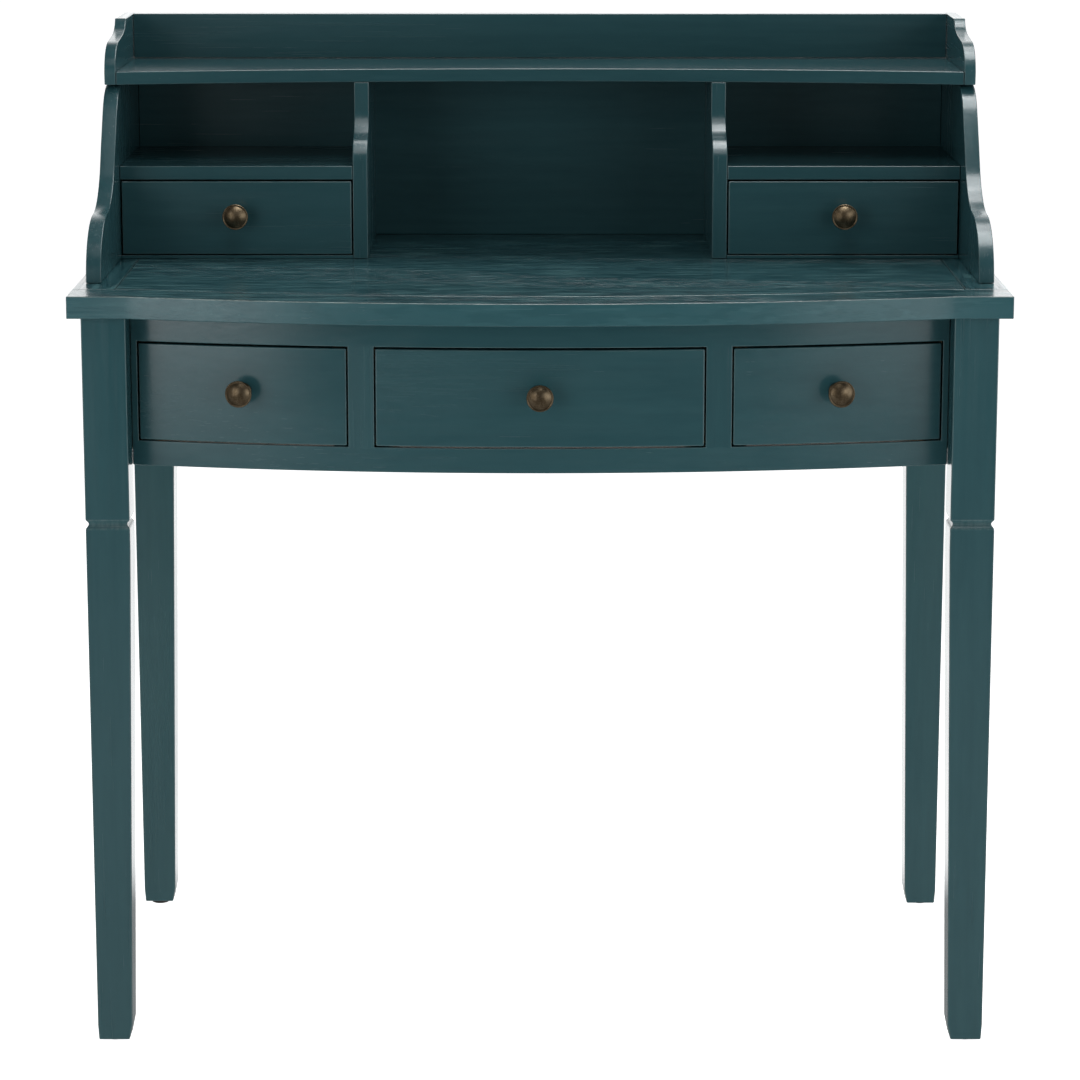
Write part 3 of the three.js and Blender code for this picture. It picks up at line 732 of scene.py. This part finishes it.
def knob_profile():
    """A collar, a waisted stem, a rolled rim, a fine groove inside it and a broad low dome."""
    r = KNOB_RADIUS
    rim = KNOB_RIM
    collar = arc((0.60 * r, 0.0009), (0.0007, 0.0009), -90, 90, 6)
    stem = arc((0.62 * r, 0.0075), (0.26 * r, 0.0048), 250, 110, 10)
    underside = arc((0.62 * r, rim - 0.0006), (0.33 * r, 0.0030), -80, -8, 6)
    rolled_rim = arc((0.95 * r, rim), (0.05 * r, 0.0009), -60, 110, 8)
    groove = (0.90 * r, rim + 0.0001)
    dome_foot = rim + 0.0004
    dome_edge = 0.85 * r
    dome_height = KNOB_LENGTH - dome_foot
    dome_radius = (dome_edge ** 2 + dome_height ** 2) / (2 * dome_height)
    slope = math.degrees(math.asin(dome_edge / dome_radius))
    centre = (0, KNOB_LENGTH - dome_radius)
    dome = arc(centre, (dome_radius, dome_radius), 90 - slope, 90, 16)[:-1]
    return [(0, 0), (0.60 * r, 0), *collar, (0.50 * r, 0.0026), *stem, *underside, *rolled_rim,
            groove, *dome, (0, KNOB_LENGTH)]


def screw_profile(radius, height):
    """A pan head that stands on the surface behind it, with a socket for the driver."""
    socket = 0.36 * radius
    skirt = 0.3 * height
    dome = arc((0, skirt), (radius, 0.7 * height), 0, 68, 6)
    return [(0, 0), (radius, 0), *dome, (socket, 0.92 * height), (0.8 * socket, skirt), (0, skirt)]


def knob_seat(drawer):
    """Where a knob stands, how far the bow turns it and how thick the drawer's front is."""
    low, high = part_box(f"drawer_{drawer}_knob")
    centre = (low + high) / 2
    if drawer not in BOWED_KNOBS:
        front_low, front_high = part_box(f"drawer_{drawer}_front")
        return Vector((centre.x, high.y, centre.z)), 0.0, front_high.y - front_low.y
    x = BOWED_KNOBS[drawer]
    radius = bow_radius()
    front_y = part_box("apron_top_rail")[0].y + radius - math.sqrt(radius ** 2 - x ** 2)
    return Vector((x, front_y - KNOB_SEAT, centre.z)), math.asin(x / radius), BOWED_FRONT


def add_knobs(bronze, steel):
    """Knobs, each with the head of its screw inside the drawer."""
    for drawer in DRAWERS:
        node = f"drawer_{drawer}_knob"
        seat, turn, thickness = knob_seat(drawer)
        pose = Matrix.Translation(seat) @ Matrix.Rotation(turn, 4, "Z")
        knob = turned(f"{node}_turned", knob_profile(), KNOB_STEPS, bronze)
        knob.matrix_world = pose
        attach(knob, f"drawer_{drawer}")
        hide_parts(node)

        screw = turned(f"{node}_screw", screw_profile(*KNOB_SCREW), SCREW_STEPS, steel)
        inside = Matrix.Translation((0, thickness + KNOB_SEAT + SCREW_CLEARANCE, 0))
        screw.matrix_world = pose @ inside @ HALF_TURN
        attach(screw, f"drawer_{drawer}")


def add_panel_screws(steel):
    """Screws that hold the hutch's back panel to its sides, dividers, floors and shelf."""
    low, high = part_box("hutch_back_panel")
    divider_low, divider_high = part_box("hutch_divider_right")
    divider = (divider_low.x + divider_high.x) / 2
    columns = [low.x + PANEL_SCREW_INSET, -divider, divider, high.x - PANEL_SCREW_INSET]
    rows = [low.z + PANEL_SCREW_INSET, (low.z + high.z) / 2, high.z - PANEL_SCREW_INSET]
    places = [(x, z) for x in columns for z in rows]
    places += [(0.0, rows[0]), (0.0, rows[-1])]
    for number, (x, z) in enumerate(places):
        name = f"back_panel_screw_{number:02d}"
        screw = turned(name, screw_profile(*PANEL_SCREW), SCREW_STEPS, steel)
        screw.matrix_world = Matrix.Translation((x, high.y + SCREW_CLEARANCE, z)) @ HALF_TURN
        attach(screw, "desk")


def add_glides(plastic):
    for node in sorted(nodes):
        if not node.startswith("glide_"):
            continue
        low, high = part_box(node)
        radius = (high.x - low.x) / 2
        height = high.z - low.z
        lip = min(GLIDE_LIP, 0.7 * height)
        rounding = arc((radius - lip, lip), (lip, lip), -90, 0, 6)
        profile = [(0, 0), *rounding, (radius, height), (0, height)]
        glide = turned(f"{node}_moulded", profile, GLIDE_STEPS, plastic)
        middle = Matrix.Translation(((low.x + high.x) / 2, (low.y + high.y) / 2, low.z))
        glide.matrix_world = middle @ Matrix.Rotation(-math.pi / 2, 4, "X")
        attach(glide, "desk")
        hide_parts(node)


# ---- Stage: camera, floor and lights ----------------------------------------------------------

FLOOR_SIZE = 30.0
LIGHTS = {
    # name: place, what it points at, width, height, watts
    "overhead": ((0.0, -1.0, 2.5), (0.0, 0.0, 0.8), 1.1, 0.9, 8.5),
    "overhead_back": ((0.2, 0.7, 2.5), (0.0, 0.0, 0.8), 1.1, 0.9, 22.0),
    "front_left": ((-1.5, -1.85, 1.0), (-0.2, 0.0, 0.7), 1.3, 1.5, 16.0),
    "front_right": ((1.5, -1.85, 1.0), (0.2, 0.0, 0.7), 1.3, 1.5, 9.0),
    "far_right": ((2.6, -2.1, 1.0), (0.0, 0.0, 0.6), 1.4, 2.0, 10.0),
    "side_left": ((-2.8, 0.2, 1.2), (0.0, 0.0, 0.6), 1.6, 2.0, 14.0),
    "side_right": ((2.8, 0.2, 1.2), (0.0, 0.0, 0.6), 1.6, 2.0, 12.0),
    "edge_right": ((1.7, -0.5, 0.9), (0.3, 0.0, 0.6), 0.8, 1.5, 5.0),
}
SHEEN_PANEL = ((0.45, -0.15, 2.6), (0.45, -0.15, 0.0), 1.3, 1.0, 38.0)  # as in LIGHTS

# Where a ray points: Y is 1 straight at the wall behind the desk and Z is 1 straight up
ROOM_LIGHT = 0.02
BACK_WALL = (0.35, 0.75)  # Y where the wall starts and where it is fully lit
BACK_WALL_LIGHT = 0.13
MIRRORED_WALL = (0.1, 0.6)  # the same as reflections see it
MIRRORED_WALL_TOP = (0.45, 0.75)  # Z where its light fades and where it ends
MIRRORED_WALL_LIGHT = 2.0
MIRRORED_FRONT = 0.03  # the share of that light that they see beside the desk and in front


def add_camera():
    data = bpy.data.cameras.new("camera")
    data.sensor_width = CAMERA_SENSOR
    data.lens = CAMERA_LENS
    data.shift_y = CAMERA_SHIFT
    camera = bpy.data.objects.new("camera", data)
    camera.location = (0.0, -CAMERA_DISTANCE, CAMERA_HEIGHT)
    camera.rotation_euler = (math.radians(90.0 - CAMERA_PITCH), 0.0, 0.0)
    bpy.context.scene.collection.objects.link(camera)
    bpy.context.scene.camera = camera


def add_floor():
    bpy.ops.mesh.primitive_plane_add(size=FLOOR_SIZE)
    floor = bpy.context.object
    floor.name = "floor"
    floor.data.materials.append(floor_paper())


def add_light(name, place, target, width, height, power):
    data = bpy.data.lights.new(name, "AREA")
    data.shape = "RECTANGLE"
    data.size = width
    data.size_y = height
    data.energy = power
    light = bpy.data.objects.new(name, data)
    light.location = place
    light.rotation_euler = (Vector(target) - Vector(place)).to_track_quat("-Z", "Y").to_euler()
    light.visible_camera = False
    bpy.context.scene.collection.objects.link(light)
    return light


def add_lights():
    for name, settings in LIGHTS.items():
        add_light(name, *settings)


def add_sheen_panel():
    """A bright panel overhead that only reflections see: it draws the glints on rounded edges."""
    panel = add_light("sheen_panel", *SHEEN_PANEL)
    panel.visible_diffuse = False


def set_world():
    """White to the camera. Everything else sees a dim room with a lit wall behind the desk."""
    world = bpy.data.worlds.new("studio")
    bpy.context.scene.world = world
    graph = Graph(world, "Background")
    ray = graph.axes(graph.coordinates("Generated"))
    lit = graph.between(ray["Y"], *BACK_WALL, ROOM_LIGHT, BACK_WALL_LIGHT, "LINEAR")
    behind = graph.between(ray["Y"], *MIRRORED_WALL, MIRRORED_FRONT, 1.0, "LINEAR")
    low = graph.between(
        ray["Z"], *MIRRORED_WALL_TOP, MIRRORED_WALL_LIGHT, ROOM_LIGHT, "LINEAR")
    strength = graph.choose(graph.ray("Glossy"), lit, graph.times(behind, low))
    strength = graph.choose(graph.ray("Camera"), strength, 1.0)
    graph.finish(Color=(1.0, 1.0, 1.0), Strength=strength)
    bpy.context.scene.view_settings.view_transform = "Standard"


add_camera()
mix_paints()
finish_painted_boards()
add_apron_frame()
add_joint_paint()
finish_bare_boards()
bronze = antique_bronze()
steel = zinc_steel()
add_knobs(bronze, steel)
add_panel_screws(steel)
add_glides(glide_plastic())
add_floor()
add_lights()
add_sheen_panel()
set_world()
